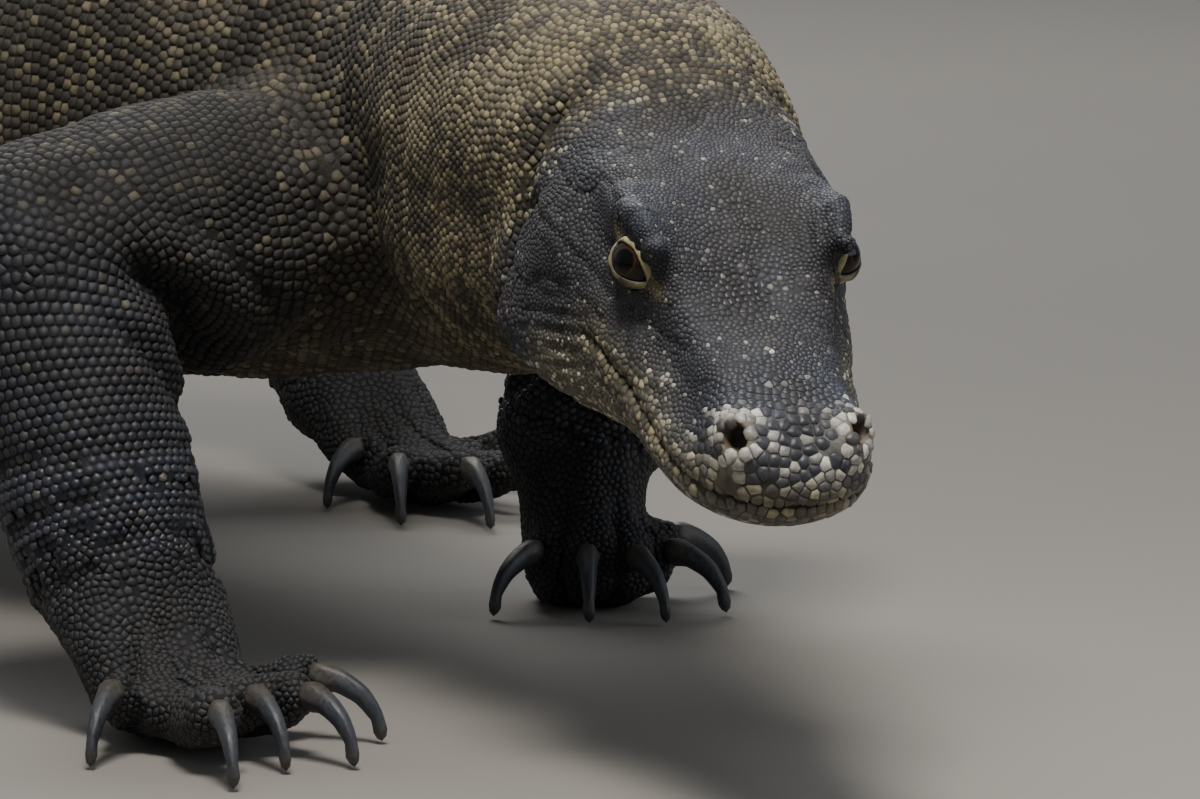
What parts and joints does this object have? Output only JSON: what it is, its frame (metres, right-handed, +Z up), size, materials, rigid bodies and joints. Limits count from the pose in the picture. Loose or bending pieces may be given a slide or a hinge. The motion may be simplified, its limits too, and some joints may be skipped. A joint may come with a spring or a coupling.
{
  "type": "komodo dragon model",
  "caption": "Life-size komodo dragon in mid-stride, head low and turned, mouth closed, sprawling clawed legs, broad trunk and a long S-curved tail that trails on the floor.",
  "frame": {"origin": "on the floor, under the middle of the whole dragon's box", "axes": "the dragon walks towards -Y with its tail towards +Y, its left side is at +X, and +Z is up"},
  "size_m": [0.463, 2.2548, 0.298],
  "materials": {
    "hide": "dry beaded reptile hide, grey-brown with dusty cream scales on the snout, lips, throat and neck",
    "claw": "worn dark horn, satin, paler and dusty at the root",
    "eye": "wet dark brown iris with a round black pupil"
  },
  "bodies": {
    "root": {"head": "hide", "lower_jaw": "hide", "neck": "hide", "chest": "hide", "belly": "hide", "pelvis": "hide", "tail_1": "hide", "tail_2": "hide", "tail_3": "hide", "tail_4": "hide", "right_upper_arm": "hide", "right_forearm": "hide", "right_hand": "hide", "right_thigh": "hide", "right_shank": "hide", "right_foot": "hide", "left_upper_arm": "hide", "left_forearm": "hide", "left_hand": "hide", "left_thigh": "hide", "left_shank": "hide", "left_foot": "hide", "right_hand_claw_1": "claw", "right_hand_claw_2": "claw", "right_hand_claw_3": "claw", "right_hand_claw_4": "claw", "right_hand_claw_5": "claw", "right_foot_claw_1": "claw", "right_foot_claw_2": "claw", "right_foot_claw_3": "claw", "right_foot_claw_4": "claw", "right_foot_claw_5": "claw", "left_hand_claw_1": "claw", "left_hand_claw_2": "claw", "left_hand_claw_3": "claw", "left_hand_claw_4": "claw", "left_hand_claw_5": "claw", "left_foot_claw_1": "claw", "left_foot_claw_2": "claw", "left_foot_claw_3": "claw", "left_foot_claw_4": "claw", "left_foot_claw_5": "claw", "right_eye": "eye", "left_eye": "eye"}
  },
  "joints": []
}
